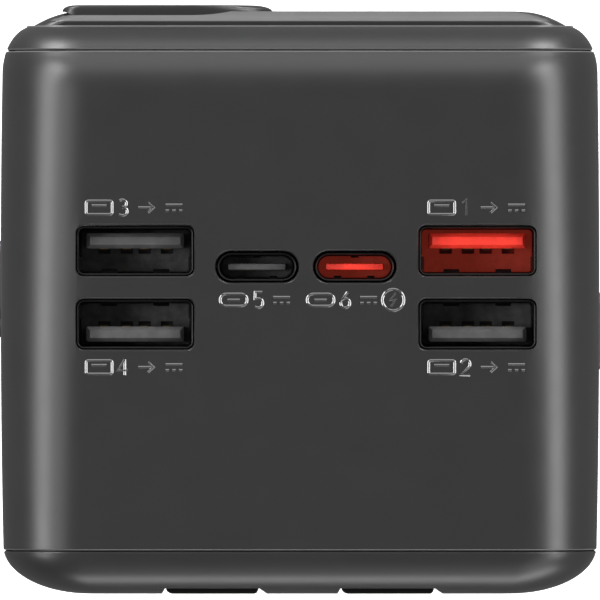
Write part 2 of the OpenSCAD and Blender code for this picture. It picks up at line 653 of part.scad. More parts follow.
module usb_a_shell_4() usb_a_shell(usb_a[3]);
module usb_a_tongue_1() usb_a_tongue(usb_a[0], dark_col);
module usb_a_tongue_2() usb_a_tongue(usb_a[1], dark_col);
module usb_a_tongue_3() usb_a_tongue(usb_a[2], red_col);
module usb_a_tongue_4() usb_a_tongue(usb_a[3], dark_col);
module usb_c_shell_1() usb_c_shell(usb_c[0]);
module usb_c_shell_2() usb_c_shell(usb_c[1]);
module usb_c_tongue_1() usb_c_tongue(usb_c[0], dark_col);
module usb_c_tongue_2() usb_c_tongue(usb_c[1], red_col);

main_shell();
plug_cover();
socket_cover();
case_screws();
guide_frame();
face_pads();
socket_insert();
line_contact();
neutral_contact();
shutter();
shutter_springs();
line_bus_bar();
neutral_bus_bar();
fuse_clips();
indicator_light_pipe();
indicator_led();
usb_board();
usb_transformer();
usb_capacitors();
usb_a_shell_1();
usb_a_shell_2();
usb_a_shell_3();
usb_a_shell_4();
usb_a_tongue_1();
usb_a_tongue_2();
usb_a_tongue_3();
usb_a_tongue_4();
usb_c_shell_1();
usb_c_shell_2();
usb_c_tongue_1();
usb_c_tongue_2();
uk_carrier();
uk_line_pin();
uk_neutral_pin();
uk_earth_pin();
uk_knob();
eu_carrier();
eu_pin_left();
eu_pin_right();
eu_knob();
us_au_carrier();
us_au_knob();
rotor_left();
rotor_right();
blade_left();
blade_right();
fuse_carrier();
fuse_body();
fuse_end_caps();
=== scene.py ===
# Universal travel adapter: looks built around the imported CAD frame. Lengths in mesh code are millimetres.
import json
import math

import bmesh
import bpy
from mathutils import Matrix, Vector


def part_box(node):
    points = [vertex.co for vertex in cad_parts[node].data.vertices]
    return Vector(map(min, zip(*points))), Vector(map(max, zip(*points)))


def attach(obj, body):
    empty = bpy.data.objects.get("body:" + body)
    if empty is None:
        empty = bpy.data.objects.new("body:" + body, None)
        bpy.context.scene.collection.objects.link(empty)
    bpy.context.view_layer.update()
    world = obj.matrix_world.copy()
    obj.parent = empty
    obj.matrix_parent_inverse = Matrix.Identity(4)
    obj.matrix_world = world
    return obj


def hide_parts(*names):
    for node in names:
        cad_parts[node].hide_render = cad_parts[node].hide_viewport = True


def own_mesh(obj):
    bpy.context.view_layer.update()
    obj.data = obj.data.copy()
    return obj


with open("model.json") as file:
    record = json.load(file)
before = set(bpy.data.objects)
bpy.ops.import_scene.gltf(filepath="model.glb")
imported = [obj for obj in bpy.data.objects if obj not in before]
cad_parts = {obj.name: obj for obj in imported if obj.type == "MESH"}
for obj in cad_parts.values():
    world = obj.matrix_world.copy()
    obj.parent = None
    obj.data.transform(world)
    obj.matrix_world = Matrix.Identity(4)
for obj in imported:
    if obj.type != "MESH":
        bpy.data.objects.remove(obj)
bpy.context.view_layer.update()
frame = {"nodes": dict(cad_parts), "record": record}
MM = 0.001


def mm_box(node):
    """Lowest and highest corner of a CAD node, in millimetres."""
    lo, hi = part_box(node)
    return Vector(lo) / MM, Vector(hi) / MM


# ---------- driving sizes, from the frame ----------
SHELL_LO, SHELL_HI = mm_box("main_shell")
PLUG_HI = mm_box("plug_cover")[1]
SOCK_LO = mm_box("socket_cover")[0]
HALF_W = SHELL_HI.x                 # half the body's width
LENGTH = SHELL_HI.z                 # plain end to port end
FACE_DROP = 0.08                    # the port face lies this far under the raised marks
Z_FACE = LENGTH - FACE_DROP
Y_SPLIT_PLUG = SHELL_HI.y
Y_SPLIT_SOCKET = SHELL_LO.y
Y_SOCKET = SOCK_LO.y
Y_PLATFORM = PLUG_HI.y
PLATFORM_H = 1.6
Y_COVER = Y_PLATFORM - PLATFORM_H
ROOF = 1.6                          # wall of the platform
WALL = 2.4
POCKET_WALL = 1.4                   # rim left around the pocket under the platform
EDGE_R = 10.04                      # long edges between the ends and the slider sides, at EDGE_R_AT
EDGE_R_AT = 15.6
EDGE_TAPER = 0.026                  # loss of that radius per millimetre towards the socket side
CROWN = 0.2                         # the slider sides fall in by this much, CROWN_SPAN away from their middle
CROWN_AT = 2.0
CROWN_SPAN = 24.0
PLUG_CORNER = (3.5, 5.2)            # plan corner on the plug side: along X, along Y
SOCKET_CORNER = (9.4, 5.2)          # plan corner on the socket side
END_R_PLUG = 7.4                    # port end to plug face
END_R_SOCKET = 5.0                  # port end to socket face
RIM = 0.17                          # bevel around the plug-side cover's face
GAP = 0.07                          # half the open width of a parting line
LIP = 0.13                          # small bevel along a parting line
GROOVE = 0.9                        # depth of the open parting line; the shells meet behind it
TOUCH = 0.004


# ---------- mesh helpers ----------
def make_object(name, verts, faces):
    mesh = bpy.data.meshes.new(name)
    mesh.from_pydata([Vector(v) * MM for v in verts], [], faces)
    mesh.update()
    obj = bpy.data.objects.new(name, mesh)
    bpy.context.scene.collection.objects.link(obj)
    outward(obj)
    return obj


def outward(obj):
    bm = bmesh.new()
    bm.from_mesh(obj.data)
    bmesh.ops.recalc_face_normals(bm, faces=bm.faces)
    bm.to_mesh(obj.data)
    bm.free()


def loft(sections, closed=False):
    """Quads between equal rings of points. An open loft gets end faces; a closed one joins last to first."""
    count = len(sections[0])
    verts = [p for ring in sections for p in ring]
    faces = []
    for i in range(len(sections) if closed else len(sections) - 1):
        a = i * count
        b = ((i + 1) % len(sections)) * count
        for j in range(count):
            k = (j + 1) % count
            faces.append((a + j, a + k, b + k, b + j))
    if not closed:
        last = (len(sections) - 1) * count
        faces.append(tuple(range(count)))
        faces.append(tuple(range(last + count - 1, last - 1, -1)))
    return verts, faces


def rounded_outline(w, h, r, arc=8, along_w=1, along_h=1):
    """Closed outline of a rounded rectangle about the origin, anticlockwise from the top of its +u side."""
    r = min(r, w / 2 - 1e-4, h / 2 - 1e-4)
    points = []
    cu, cv = w / 2 - r, h / 2 - r
    centres = [(cu, cv), (-cu, cv), (-cu, -cv), (cu, -cv)]
    for side, (cu, cv) in enumerate(centres):
        start = side * math.pi / 2
        for i in range(arc + 1):
            t = start + i * math.pi / 2 / arc
            points.append((cu + r * math.cos(t), cv + r * math.sin(t)))
        nxt = centres[(side + 1) % 4]
        end = start + math.pi / 2
        a = points[-1]
        b = (nxt[0] + r * math.cos(end), nxt[1] + r * math.sin(end))
        steps = along_w if side % 2 == 0 else along_h
        for i in range(1, steps):
            points.append((a[0] + (b[0] - a[0]) * i / steps, a[1] + (b[1] - a[1]) * i / steps))
    return points


AXES = {
    "x": lambda u, v, d: (d, u, v),
    "y": lambda u, v, d: (u, d, v),
    "z": lambda u, v, d: (u, v, d),
}


def prism(name, axis, centre, size, r, levels, turn=0.0, arc=8):
    """Rounded-rectangle bar along an axis, through levels of (place on the axis, growth of the outline)."""
    place = AXES[axis]
    c, s = math.cos(turn), math.sin(turn)
    sections = []
    for depth, grow in levels:
        outline = rounded_outline(size[0] + 2 * grow, size[1] + 2 * grow, max(r + grow, 0.02), arc)
        sections.append([place(centre[0] + u * c - v * s, centre[1] + u * s + v * c, depth)
                         for u, v in outline])
    return make_object(name, *loft(sections))


def apply_modifiers(obj):
    graph = bpy.context.evaluated_depsgraph_get()
    mesh = bpy.data.meshes.new_from_object(obj.evaluated_get(graph))
    old = obj.data
    obj.modifiers.clear()
    obj.data = mesh
    mesh.name = obj.name
    bpy.data.meshes.remove(old)


def boolean(obj, tools, operation="DIFFERENCE"):
    """Cuts or joins the tools one by one, and removes them."""
    for tool in tools:
        mod = obj.modifiers.new("cut", "BOOLEAN")
        mod.operation = operation
        mod.solver = "EXACT"
        mod.object = tool
        apply_modifiers(obj)
        mesh = tool.data
        bpy.data.objects.remove(tool)
        bpy.data.meshes.remove(mesh)


MERGE = 0.002                       # points closer than this become one
SLIVER = 0.001                      # faces thinner than this are dissolved
CREASE = 28                         # edges sharper than this many degrees stay crisp


def smooth(obj, angle=CREASE):
    """Smooth shading with edges sharper than the angle kept crisp, and stray slivers merged."""
    bm = bmesh.new()
    bm.from_mesh(obj.data)
    bmesh.ops.remove_doubles(bm, verts=bm.verts, dist=MERGE * MM)
    bmesh.ops.dissolve_degenerate(bm, edges=bm.edges, dist=SLIVER * MM)
    limit = math.radians(angle)
    for face in bm.faces:
        face.smooth = True
    for edge in bm.edges:
        edge.smooth = not (len(edge.link_faces) == 2 and edge.calc_face_angle(0) > limit)
    bm.to_mesh(obj.data)
    bm.free()


def finish_piece(obj, body, mat, nodes=()):
    """Smooths a piece and gives it its body, material and the CAD nodes it stands for, which are hidden."""
    smooth(obj)
    obj.data.materials.clear()
    obj.data.materials.append(mat)
    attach(obj, body)
    if nodes:
        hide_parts(*nodes)
    return obj


def join(name, parts):
    """Joins part objects into one mesh object."""
    bm = bmesh.new()
    for part in parts:
        bm.from_mesh(part.data)
    mesh = bpy.data.meshes.new(name)
    bm.to_mesh(mesh)
    bm.free()
    for part in parts:
        data = part.data
        bpy.data.objects.remove(part)
        bpy.data.meshes.remove(data)
    obj = bpy.data.objects.new(name, mesh)
    bpy.context.scene.collection.objects.link(obj)
    return obj


# ---------- materials ----------
def new_material(name):
    mat = bpy.data.materials.new(name)
    mat.use_nodes = True
    nodes = mat.node_tree.nodes
    return mat, mat.node_tree, nodes["Principled BSDF"]


def add_node(tree, kind, **sockets):
    node = tree.nodes.new(kind)
    for key, value in sockets.items():
        node.inputs[key.replace("_", " ")].default_value = value
    return node


def moulded(name, colour, rough, variation=0.06, grain=5200.0, grain_depth=0.004, rough_spread=0.06,
            specular=0.5, metallic=0.0, coat=0.0, mottle=120.0, painted_glow=0.0):
    """Moulded or plated surface: slow colour drift, uneven gloss and a fine grain, all from position."""
    mat, tree, shader = new_material(name)
    shader.inputs["Metallic"].default_value = metallic
    shader.inputs["Specular IOR Level"].default_value = specular
    shader.inputs["Coat Weight"].default_value = coat
    shader.inputs["Emission Color"].default_value = list(colour) + [1]
    # the emission strength paints light onto a part that is no lamp; only the red insert's floor uses it
    shader.inputs["Emission Strength"].default_value = painted_glow
    coords = tree.nodes.new("ShaderNodeTexCoord")
    drift = add_node(tree, "ShaderNodeTexNoise", Scale=mottle, Detail=3.0, Roughness=0.55)
    tree.links.new(coords.outputs["Object"], drift.inputs["Vector"])
    ramp = tree.nodes.new("ShaderNodeValToRGB")
    ramp.color_ramp.elements[0].position = 0.3
    ramp.color_ramp.elements[1].position = 0.7
    ramp.color_ramp.elements[0].color = [c * (1 - variation) for c in colour] + [1]
    ramp.color_ramp.elements[1].color = [min(1, c * (1 + variation)) for c in colour] + [1]
    tree.links.new(drift.outputs["Fac"], ramp.inputs["Fac"])
    tree.links.new(ramp.outputs["Color"], shader.inputs["Base Color"])
    gloss = add_node(tree, "ShaderNodeMapRange", From_Min=0.3, From_Max=0.7,
                     To_Min=rough - rough_spread, To_Max=rough + rough_spread)
    patches = add_node(tree, "ShaderNodeTexNoise", Scale=mottle * 2.7, Detail=4.0)
    tree.links.new(coords.outputs["Object"], patches.inputs["Vector"])
    tree.links.new(patches.outputs["Fac"], gloss.inputs["Value"])
    tree.links.new(gloss.outputs["Result"], shader.inputs["Roughness"])
    fine = add_node(tree, "ShaderNodeTexNoise", Scale=grain, Detail=2.0)
    tree.links.new(coords.outputs["Object"], fine.inputs["Vector"])
    bump = add_node(tree, "ShaderNodeBump", Strength=0.35, Distance=grain_depth * MM)
    tree.links.new(fine.outputs["Fac"], bump.inputs["Height"])
    tree.links.new(bump.outputs["Normal"], shader.inputs["Normal"])
    return mat


MAT = {
    "casing": moulded("casing_plastic", (0.0135, 0.0135, 0.0136), 0.36, variation=0.03, rough_spread=0.015),
    # lighter grey for the parting-line lips and the plug-side cover's rim: a painted highlight
    "edge": moulded("casing_edge_painted_highlight", (0.1, 0.1, 0.101), 0.36, variation=0.04, rough_spread=0.03),
    # lighter grey for the platform's end bevels: partly painted highlight, and partly a real one from the
    # plug-face softbox
    "bevel": moulded("casing_bevel_painted_highlight", (0.075, 0.075, 0.076), 0.36, variation=0.04, rough_spread=0.03),
    # the raised marks are the casing's plastic, but with a lighter base colour: painted light; their glints
    # come from real gloss and coat
    "mark": moulded("mark_gloss_painted_light", (0.03, 0.03, 0.03), 0.16, variation=0.04, rough_spread=0.03,
                    specular=1.0, coat=1.0),
    "knob": moulded("knob_plastic", (0.022, 0.022, 0.023), 0.38),
    "black": moulded("black_plastic", (0.014, 0.014, 0.015), 0.42),
    "frame": moulded("frame_plastic", (0.3, 0.3, 0.29), 0.45, grain_depth=0.01),
    "pad": moulded("pad_rubber", (0.002, 0.002, 0.002), 0.7, specular=0.1, grain_depth=0.01),
    "screw": moulded("screw_steel", (0.42, 0.42, 0.43), 0.28, metallic=1.0, grain=2500.0),
    "spring": moulded("spring_steel", (0.5, 0.5, 0.5), 0.3, metallic=1.0),
    "pin": moulded("pin_nickel", (0.66, 0.64, 0.6), 0.22, metallic=1.0, grain=1800.0),
    "brass": moulded("contact_brass", (0.72, 0.5, 0.2), 0.28, metallic=1.0, grain=2200.0),
    "ceramic": moulded("fuse_ceramic", (0.8, 0.78, 0.72), 0.2, coat=0.5),
    "led": moulded("led_red", (0.6, 0.02, 0.01), 0.2, coat=0.5),
    "board": moulded("board_green", (0.01, 0.11, 0.04), 0.3, variation=0.25, mottle=700.0),
    "tape": moulded("transformer_tape", (0.72, 0.5, 0.03), 0.3, variation=0.12),
    "sleeve": moulded("capacitor_sleeve", (0.012, 0.012, 0.05), 0.25, coat=0.3),
    "port": moulded("port_black_metal", (0.004, 0.004, 0.0042), 0.3, specular=0.3, grain_depth=0.002),
    "tongue": moulded("tongue_grey", (0.06, 0.06, 0.061), 0.42, variation=0.2, mottle=900.0),
    "red": moulded("tongue_red", (0.8, 0.035, 0.02), 0.4, variation=0.12, mottle=900.0),
    # floor of a grey insert, much lighter than the insert's own grey: painted light where the port's floor
    # looks lit
    "grey_floor_painted_light": moulded("insert_floor_grey_painted_light", (0.3, 0.3, 0.3), 0.6, variation=0.3, mottle=900.0),
    # floor of the red insert: lighter than the red tongue and glowing, a painted glow
    "red_floor_painted_glow": moulded("insert_floor_red_painted_glow", (0.95, 0.09, 0.05), 0.6, variation=0.2, mottle=900.0, painted_glow=0.09),
    "gold": moulded("contact_gold", (0.3, 0.22, 0.1), 0.3, metallic=1.0),
}


def clear_pipe():
    mat, tree, shader = new_material("light_pipe_clear")
    shader.inputs["Transmission Weight"].default_value = 0.6
    shader.inputs["IOR"].default_value = 1.49
    shader.inputs["Base Color"].default_value = (0.8, 0.8, 0.8, 1)
    coords = tree.nodes.new("ShaderNodeTexCoord")
    noise = add_node(tree, "ShaderNodeTexNoise", Scale=300.0)
    tree.links.new(coords.outputs["Object"], noise.inputs["Vector"])
    haze = add_node(tree, "ShaderNodeMapRange", To_Min=0.1, To_Max=0.35)
    tree.links.new(noise.outputs["Fac"], haze.inputs["Value"])
    tree.links.new(haze.outputs["Result"], shader.inputs["Roughness"])
    return mat


MAT["pipe"] = clear_pipe()


# ---------- casing ----------
def corner_inset(distance, radii):
    """How far an elliptical corner lies inside the straight side, at a distance from the face."""
    across, deep = radii
    if distance >= deep:
        return 0.0
    t = (deep - max(distance, 0.0)) / deep
    return across * (1 - math.sqrt(max(0.0, 1 - t * t)))


def casing_ring(y, inset, shape_y=None):
    """Rounded-rectangle ring of the casing at height y, drawn inset from the outside shape at shape_y."""
    shape_y = y if shape_y is None else shape_y
    to_plug = Y_COVER - inset - shape_y
    to_socket = shape_y - (Y_SOCKET + inset)
    crown = CROWN * ((shape_y - CROWN_AT) / CROWN_SPAN) ** 2
    side = inset + crown + max(corner_inset(to_plug, [v - inset for v in PLUG_CORNER]),
                               corner_inset(to_socket, [v - inset for v in SOCKET_CORNER]))
    end = inset + max(corner_inset(to_plug, (END_R_PLUG - inset, END_R_PLUG - inset)),
                      corner_inset(to_socket, (END_R_SOCKET - inset, END_R_SOCKET - inset)))
    half = HALF_W - side
    z0 = end
    z1 = Z_FACE - end
    radius = EDGE_R - EDGE_TAPER * (EDGE_R_AT - shape_y) - 0.5 * (side + end)
    outline = rounded_outline(2 * half, z1 - z0, radius, arc=14, along_w=22, along_h=10)
    return [(u, y, v + (z0 + z1) / 2) for u, v in outline]


def paint_highlight_spans(obj, mat, spans, end_only=False):
    """Gives another, lighter material to the faces whose middle lies in one of the spans of Y: a painted
    highlight along narrow bands.
    With end_only, only to those that slope towards an end of the body."""
    obj.data.materials.append(mat)
    index = len(obj.data.materials) - 1
    for face in obj.data.polygons:
        y = face.center.y / MM
        if any(lo < y < hi for lo, hi in spans) and (not end_only or abs(face.normal.z) > 0.35):
            face.material_index = index


def eased(y0, y1, count):
    """Heights from y0 to y1, closer together near y1."""
    return [y0 + (y1 - y0) * math.sin(i * math.pi / 2 / count) for i in range(count + 1)]


def parting(y, direction):
    """Stations (height, inset) that form the bevelled lip of a shell at a parting plane.
    direction is +1 for a shell that ends at the plane coming from below it, -1 for one that starts there."""
    return [(y - direction * (GAP + LIP), 0.0), (y - direction * GAP, LIP), (y - direction * GAP, GROOVE),
            (y - direction * TOUCH, GROOVE)]


def lip_span(y, direction):
    """Span of Y between the two edges of a lip."""
    a, b = y - direction * (GAP + LIP), y - direction * GAP
    return min(a, b) + 0.01, max(a, b) - 0.01


def even_shading(obj):
    """Weights the normals by face area, so the flat faces of a shell stay flat up to their rounded edges."""
    mod = obj.modifiers.new("normals", "WEIGHTED_NORMAL")
    mod.keep_sharp = True
    apply_modifiers(obj)


def shell_from(name, stations, closed=False):
    return make_object(name, *loft([casing_ring(*station) for station in stations], closed=closed))


def middle_shell():
    outer = parting(Y_SPLIT_SOCKET, -1)[::-1]
    low, high = Y_SPLIT_SOCKET + GAP + LIP, Y_SPLIT_PLUG - GAP - LIP
    bend = Y_COVER - END_R_PLUG
    outer += [(low + (bend - low) * i / 16, 0.0) for i in range(1, 17)]
    outer += [(bend + (high - bend) * i / 12, 0.0) for i in range(1, 12)]
    outer += parting(Y_SPLIT_PLUG, 1)
    inner = [(y, WALL) for y in (Y_SPLIT_PLUG - TOUCH, bend, Y_SPLIT_SOCKET + 4, Y_SPLIT_SOCKET + TOUCH)]
    shell = shell_from("casing_middle", outer + inner, closed=True)
    boolean(shell, port_cutters() + slider_cutters())
    finish_piece(shell, "casing", MAT["casing"], ["main_shell"])
    even_shading(shell)
    # the lips along both parting lines get the lighter grey, a painted highlight
    paint_highlight_spans(shell, MAT["edge"], [lip_span(Y_SPLIT_PLUG, 1), lip_span(Y_SPLIT_SOCKET, -1)])


PORTS_A = ["usb_a_shell_%d" % i for i in (1, 2, 3, 4)]
PORTS_C = ["usb_c_shell_1", "usb_c_shell_2"]
PORT_LIP = 0.16
PORT_GAP_A = (0.1, 0.1)             # the opening is larger than a USB-A can by this much
PORT_GAP_C = (0.4, 0.3)
CAN_R_A = 0.85                      # corner radius of a USB-A can


def port_place(node):
    lo, hi = mm_box(node)
    return (lo + hi) / 2, hi - lo


def port_cutters():
    tools = []
    for node in PORTS_A + PORTS_C:
        centre, size = port_place(node)
        is_a = node in PORTS_A
        gap_x, gap_y = PORT_GAP_A if is_a else PORT_GAP_C
        w, h = size.x + gap_x, size.y + gap_y
        radius = CAN_R_A if is_a else h / 2
        levels = [(Z_FACE - 3 * WALL, 0), (Z_FACE - PORT_LIP - 0.05, 0), (Z_FACE - 0.04, PORT_LIP * 0.7),
                  (Z_FACE + 0.6, PORT_LIP * 0.7 + 0.7)]
        tools.append(prism("cut_" + node, "z", (centre.x, centre.y), (w, h), radius, levels))
    return tools


SLIDERS = [("uk_knob", 1), ("eu_knob", -1), ("us_au_knob", -1)]
KNOB_END = 24.0
KNOB_GAP = 0.4                      # between a knob and its track
TRACK_DEPTH = 1.3
TRACK_R = 2.0
SLOT_SHORT = 4.2                    # the slot through the wall is this much shorter than its track
SLOT_H = 3.2
SLOT_R = 0.6


def slider_cutters():
    tools = []
    for node, side in SLIDERS:
        lo, hi = mm_box(node)
        rear, front = lo.y - KNOB_GAP, KNOB_END + KNOB_GAP
        z = (lo.z + hi.z) / 2
        height = hi.z - lo.z + 2 * KNOB_GAP
        x = side * HALF_W
        levels = [(x - side * TRACK_DEPTH, 0), (x - side * 0.2, 0), (x, 0.2), (x + side * 1, 1.2)]
        centre = ((rear + front) / 2, z)
        tools.append(prism("cut_track", "x", centre, (front - rear, height), TRACK_R, levels))
        slot = [(x - side * 6, 0), (x + side * 1, 0)]
        tools.append(prism("cut_slot", "x", centre, (front - rear - SLOT_SHORT, SLOT_H), SLOT_R, slot))
    return tools


def plug_cover():
    start = Y_SPLIT_PLUG + GAP + LIP
    rim = Y_COVER - RIM
    outer = parting(Y_SPLIT_PLUG, -1)[::-1]
    outer += [(y, 0.0) for y in eased(start, rim, 14)[1:]]
    outer += [(Y_COVER, RIM, rim - RIM)]
    inner = [(Y_COVER - WALL, WALL), (Y_SPLIT_PLUG + TOUCH, WALL)]
    cover = shell_from("casing_plug_cover", inner + outer)
    boolean(cover, [platform()], "UNION")
    boolean(cover, plug_cutters())
    finish_piece(cover, "casing", MAT["casing"], ["plug_cover"])
    even_shading(cover)
    # the lip and the cover's rim get the lighter grey, a painted highlight
    paint_highlight_spans(cover, MAT["edge"], [lip_span(Y_SPLIT_PLUG, -1), (rim + 0.02, Y_COVER - 0.02)])
    # the platform's end bevels get the lighter grey: painted highlight on top of the softbox's real one
    paint_highlight_spans(cover, MAT["bevel"], [(Y_PLATFORM - PLATFORM_RISE, Y_PLATFORM - 0.01)], end_only=True)


PLATFORM_HALF = 29.75
PLATFORM_Z = (END_R_PLUG + 0.1, LENGTH - END_R_PLUG)
PLATFORM_SIDE = 5.3                 # how far the platform's rounded sides reach inwards
PLATFORM_END = 1.15                 # the same at its ends
PLATFORM_RISE = 1.15                # height of the rounding at the ends
PLATFORM_R = 3.0                    # its corners in plan


def platform():
    z0, z1 = PLATFORM_Z
    stations = [(Y_COVER - 0.9, 0.0, 0.0)]
    for i in range(17):
        y = Y_COVER + PLATFORM_H * i / 16
        side = 1 - math.sqrt(1 - i / 16)
        t = max(0.0, 1 - (Y_PLATFORM - y) / PLATFORM_RISE)
        stations.append((y, side, 0.5 * t + 0.5 * (1 - math.cos(t * math.pi / 2))))
    rings = []
    for y, side, end in stations:
        width = 2 * (PLATFORM_HALF - PLATFORM_SIDE * side)
        length = z1 - z0 - 2 * PLATFORM_END * end
        outline = rounded_outline(width, length, PLATFORM_R - end, arc=12)
        rings.append([(u, y, v + (z0 + z1) / 2) for u, v in outline])
    return make_object("platform", *loft(rings))


PIN_GAP = 0.3                       # around a flat pin or a blade in its opening
ROUND_PIN_GAP = 0.35
PIN_OPENING_R = 0.4
BLADE_OPENING_R = 0.3
BLADE_TURNS = (0, 10, 20, 30)       # a blade's opening is cut at each of these angles
FUSE_OPENING_H = 6.6
FUSE_OPENING_R = 0.6
SCREWS = [(25, 10), (-25, 10), (25, 58), (-25, 31)]
SCREW_SEAT = 29.4
SCREW_WELL = 4.8


def middle_of(lo, hi):
    """Middle of a box, across the Y axis."""
    return (lo.x + hi.x) / 2, (lo.z + hi.z) / 2


def plug_cutters():
    """Platform hollow, fuse opening, screw seats, pin slots and blade openings."""
    y_out = Y_PLATFORM + 1
    y_in = Y_SPLIT_PLUG - 2
    z0, z1 = PLATFORM_Z
    tools = [prism("cut_hollow", "y", (0, (z0 + z1) / 2),
                   (2 * (PLATFORM_HALF - POCKET_WALL), z1 - z0 - 2 * POCKET_WALL), PLATFORM_R - POCKET_WALL,
                   [(y_in, 0), (Y_PLATFORM - ROOF, 0)])]
    mouth = [(y_in, 0), (Y_PLATFORM - 0.2, 0), (Y_PLATFORM + 0.02, 0.22), (y_out, 1.2)]
    for node in ("uk_line_pin", "uk_neutral_pin", "uk_earth_pin"):
        lo, hi = mm_box(node)
        size = (hi.x - lo.x + 2 * PIN_GAP, hi.z - lo.z + 2 * PIN_GAP)
        tools.append(prism("cut_" + node, "y", middle_of(lo, hi), size, PIN_OPENING_R, mouth))
    for node in ("eu_pin_left", "eu_pin_right"):
        lo, hi = mm_box(node)
        d = hi.x - lo.x + 2 * ROUND_PIN_GAP
        tools.append(prism("cut_" + node, "y", middle_of(lo, hi), (d, d), d / 2, mouth, arc=12))
    for node, side in (("blade_left", -1), ("blade_right", 1)):
        lo, hi = mm_box(node)
        size = (hi.x - lo.x + 2 * PIN_GAP, hi.z - lo.z + 2 * PIN_GAP)
        for degrees in BLADE_TURNS:
            turn = -side * math.radians(degrees)
            tools.append(prism("cut_" + node, "y", middle_of(lo, hi), size, BLADE_OPENING_R, mouth,
                               turn=turn))
    lo, hi = mm_box("fuse_carrier")
    centre = (middle_of(lo, hi)[0], middle_of(*mm_box("fuse_body"))[1])
    tools.append(prism("cut_fuse", "y", centre, (hi.x - lo.x - 2, FUSE_OPENING_H), FUSE_OPENING_R,
                       [(y_in, 0), (y_out, 0)]))
    well = [(SCREW_SEAT, 0), (Y_PLATFORM - 0.15, 0), (Y_PLATFORM + 0.02, 0.17), (y_out, 1.1)]
    for place in SCREWS:
        tools.append(prism("cut_screw", "y", place, (SCREW_WELL, SCREW_WELL), SCREW_WELL / 2, well, arc=12))
    return tools


def socket_cover():
    outer = parting(Y_SPLIT_SOCKET, 1)[::-1]
    start = Y_SPLIT_SOCKET - GAP - LIP
    outer += [(y, 0.0) for y in eased(start, Y_SOCKET, 18)[1:]]
    inner = [(Y_SOCKET + 2, WALL), (Y_SPLIT_SOCKET - TOUCH, WALL)]
    cover = shell_from("casing_socket_cover", inner + outer)
    boolean(cover, socket_cutters())
    finish_piece(cover, "casing", MAT["casing"], ["socket_cover"])
    even_shading(cover)


SOCKET_Z = 47.5
EARTH_PITCH = 22.23
GROUND_PITCH = 11.9
PAD_X = 9.8
PAD_W = 10.3
PAD_L = 9.0
PAD_DEPTH = 0.6
PAD_GAP = 0.12
CHANNEL_SLOPE = (0.35, 0.85)        # width of the channel's slanted walls, at its -X and +X side
# openings on both sides of the middle: distance from it, size, corner radius and its steps, turn in degrees
SOCKET_OPENINGS = [
    (11.1, (7, 4.6), 0.4, 8, 0),    # British line and neutral
    (9.5, (5.2, 5.2), 2.6, 12, 0),  # European
    (6.35, (2.1, 7), 0.3, 8, 0),    # American
    (6.9, (2.2, 6.9), 0.3, 8, 30),  # Australian
]
EARTH_SLOT = (4.8, 8.8)
EARTH_SLOT_R = 0.4
GROUND_D = 5.2                      # round hole of the American earth pin
PIPE_D = 2.6


def socket_cutters():
    """Openings of the universal socket, the light pipe's hole and the channels of the pads."""
    y_in, y_out = Y_SPLIT_SOCKET + 1, Y_SOCKET - 1
    mouth = [(y_in, 0), (Y_SOCKET + 0.25, 0), (Y_SOCKET - 0.02, 0.27), (y_out, 1.25)]
    tools = []
    for s in (-1, 1):
        for x, size, r, steps, degrees in SOCKET_OPENINGS:
            tools.append(prism("cut", "y", (s * x, SOCKET_Z), size, r, mouth,
                               turn=s * math.radians(degrees), arc=steps))
    tools.append(prism("cut", "y", (0, SOCKET_Z - EARTH_PITCH), EARTH_SLOT, EARTH_SLOT_R, mouth))
    tools.append(prism("cut", "y", (0, SOCKET_Z - GROUND_PITCH), (GROUND_D, GROUND_D), GROUND_D / 2, mouth,
                       arc=12))
    pipe = middle_of(*mm_box("indicator_light_pipe"))
    tools.append(prism("cut", "y", pipe, (PIPE_D, PIPE_D), PIPE_D / 2, mouth, arc=12))
    return tools + [pad_channel(s) for s in (-1, 1)]


def pad_channel(side):
    half = PAD_W / 2 + PAD_GAP
    left, right = half + CHANNEL_SLOPE[0], half + CHANNEL_SLOPE[1]
    outline = [(-left, Y_SOCKET - 1), (right, Y_SOCKET - 1), (right, Y_SOCKET),
               (half, Y_SOCKET + PAD_DEPTH), (-half, Y_SOCKET + PAD_DEPTH), (-left, Y_SOCKET)]
    rings = [[(side * PAD_X + u, y, z) for u, y in outline] for z in (-1, LENGTH + 1)]
    return make_object("cut_channel", *loft(rings))


# ---------- pads, fuse cap and knobs ----------
PAD_ROUND = (0.8, 0.5)              # rounded edges of a pad, inwards from its -X and +X side
PAD_SEAT = 0.02                     # kept clear of the channel's floor
PAD_ENDS = ((0, 0.25), (0.1, 0.08), (0.3, 0))       # distance from an end of a pad, inset there


def pads():
    """Black pads with rounded outer edges at both ends of the two channels."""
    lo, hi = mm_box("face_pads")
    half = PAD_W / 2
    height = PAD_DEPTH - PAD_SEAT
    angles = [i * math.pi / 12 for i in range(7)]
    outline = [(-half + PAD_ROUND[0] * (1 - math.cos(a)), Y_SOCKET + height * (1 - math.sin(a)))
               for a in angles]
    outline += [(half - PAD_ROUND[1] * (1 - math.cos(a)), Y_SOCKET + height * (1 - math.sin(a)))
                for a in angles[::-1]]
    parts = []
    for side in (-1, 1):
        for z0, z1 in ((lo.z, lo.z + PAD_L), (hi.z - PAD_L, hi.z)):
            rings = []
            stations = [(z0 + d, inset) for d, inset in PAD_ENDS]
            stations += [(z1 - d, inset) for d, inset in PAD_ENDS[::-1]]
            for z, shrink in stations:
                rings.append([(side * PAD_X + u * (1 - shrink / half),
                               max(y, Y_SOCKET + shrink * 0.6), z) for u, y in outline])
            parts.append(make_object("pad", *loft(rings)))
    finish_piece(join("grip_pads", parts), "casing", MAT["pad"], ["face_pads"])


CAP_BLUNT_R = 1.6
CAP_TAPER = 9.0
CAP_ROUND = (1.45, 0.68)            # rounded upper edge of the cap at its ends: inwards, upwards
CAP_EDGE = 0.12                     # the same inwards along its sides
CAP_SKIRT = 0.8                     # how steeply its front edge follows the platform's bevel
CRADLE = (11.2, 6)                  # block under the cap that holds the fuse
CRADLE_R = 0.5
FUSE_BED_D = 5.3


